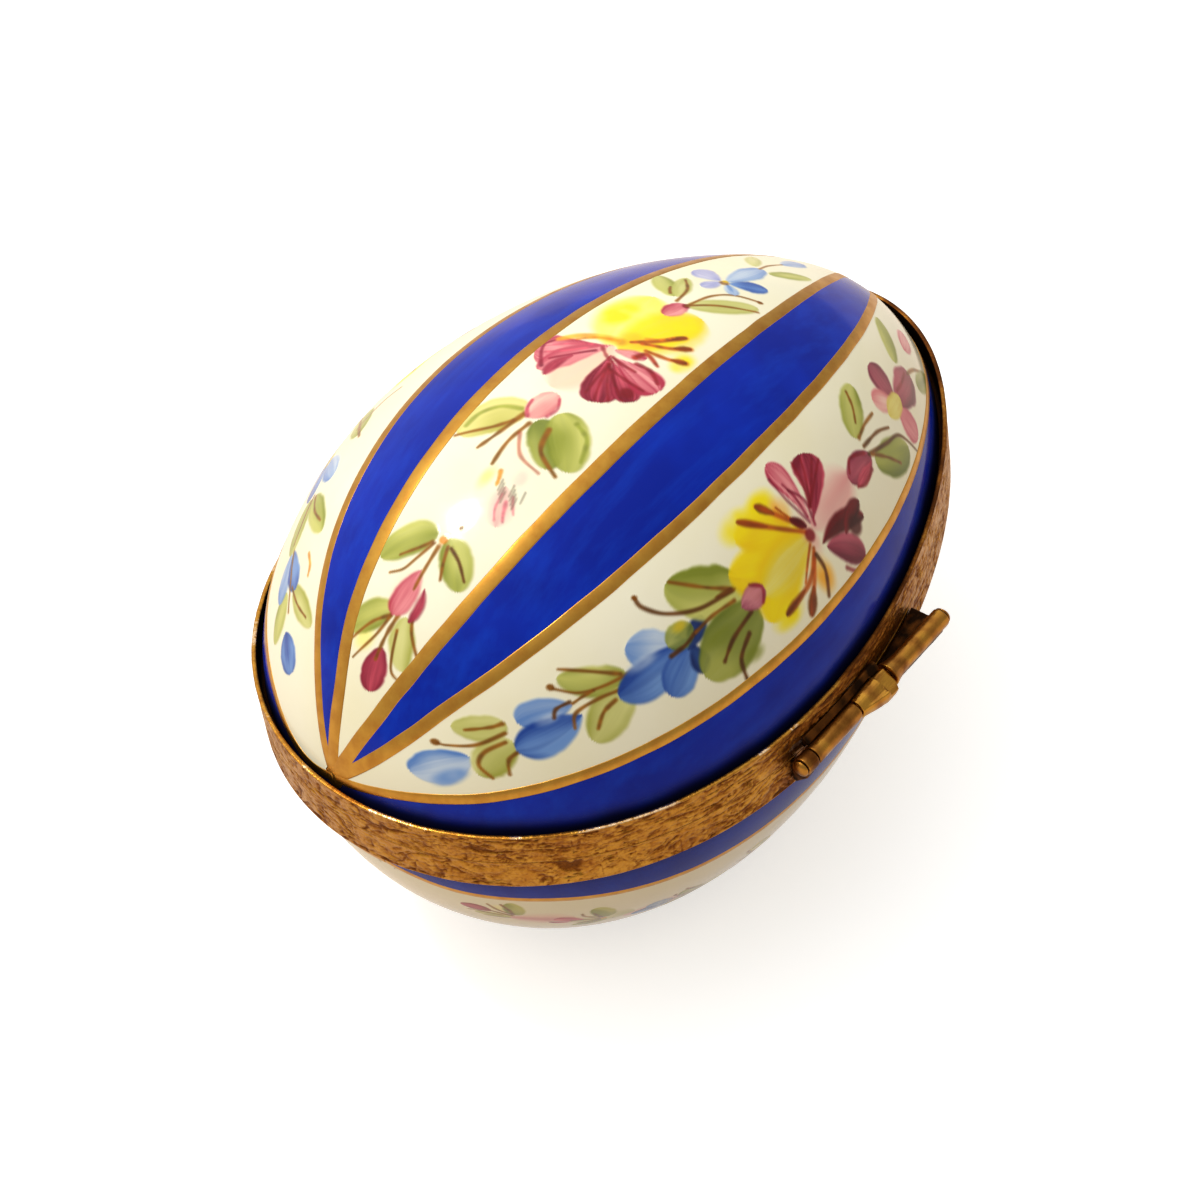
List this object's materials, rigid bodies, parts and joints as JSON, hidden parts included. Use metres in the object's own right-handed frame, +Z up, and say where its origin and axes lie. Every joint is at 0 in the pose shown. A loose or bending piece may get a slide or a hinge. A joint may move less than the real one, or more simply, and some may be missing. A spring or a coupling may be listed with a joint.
{
  "type": "porcelain egg box",
  "caption": "Egg-shaped porcelain trinket box lying on its side, with striped and flowered glaze, brass rims, a tube hinge with a stop and a front clasp.",
  "frame": {"origin": "on the flat foot, below the middle of the egg's length", "axes": "+X along the egg towards its blunt end, +Y towards the hinge, +Z up"},
  "size_m": [0.0662, 0.0514, 0.044],
  "materials": {
    "lid_porcelain": "hand-painted glossy glaze, cobalt stripes, gold lines and flower garlands on white",
    "base_porcelain": "hand-painted glossy glaze, cobalt stripes, gold lines and flower garlands on white",
    "rim_brass": "gilt brass, chiselled face with a worn bright edge",
    "hinge_brass": "plain brass tube, darkened with age"
  },
  "bodies": {
    "base": {"base_shell": "base_porcelain", "base_rim": "rim_brass", "base_hinge_tube_long": "hinge_brass", "base_hinge_tube_short": "hinge_brass", "base_bearer_long": "hinge_brass", "base_bearer_short": "hinge_brass", "hinge_pin": "hinge_brass", "catch_bead": "rim_brass"},
    "lid": {"lid_shell": "lid_porcelain", "lid_rim": "rim_brass", "lid_hinge_tube": "hinge_brass", "lid_stop_collar": "hinge_brass", "lid_hinge_bearer": "hinge_brass", "clasp_tongue": "rim_brass"}
  },
  "joints": [
    {"name": "lid_hinge", "type": "hinge", "parent": "base", "child": "lid", "pos_m": [0.00158, 0.02457, 0.0215], "axis": [-1, 0, 0], "range_deg": [0, 97]}
  ]
}
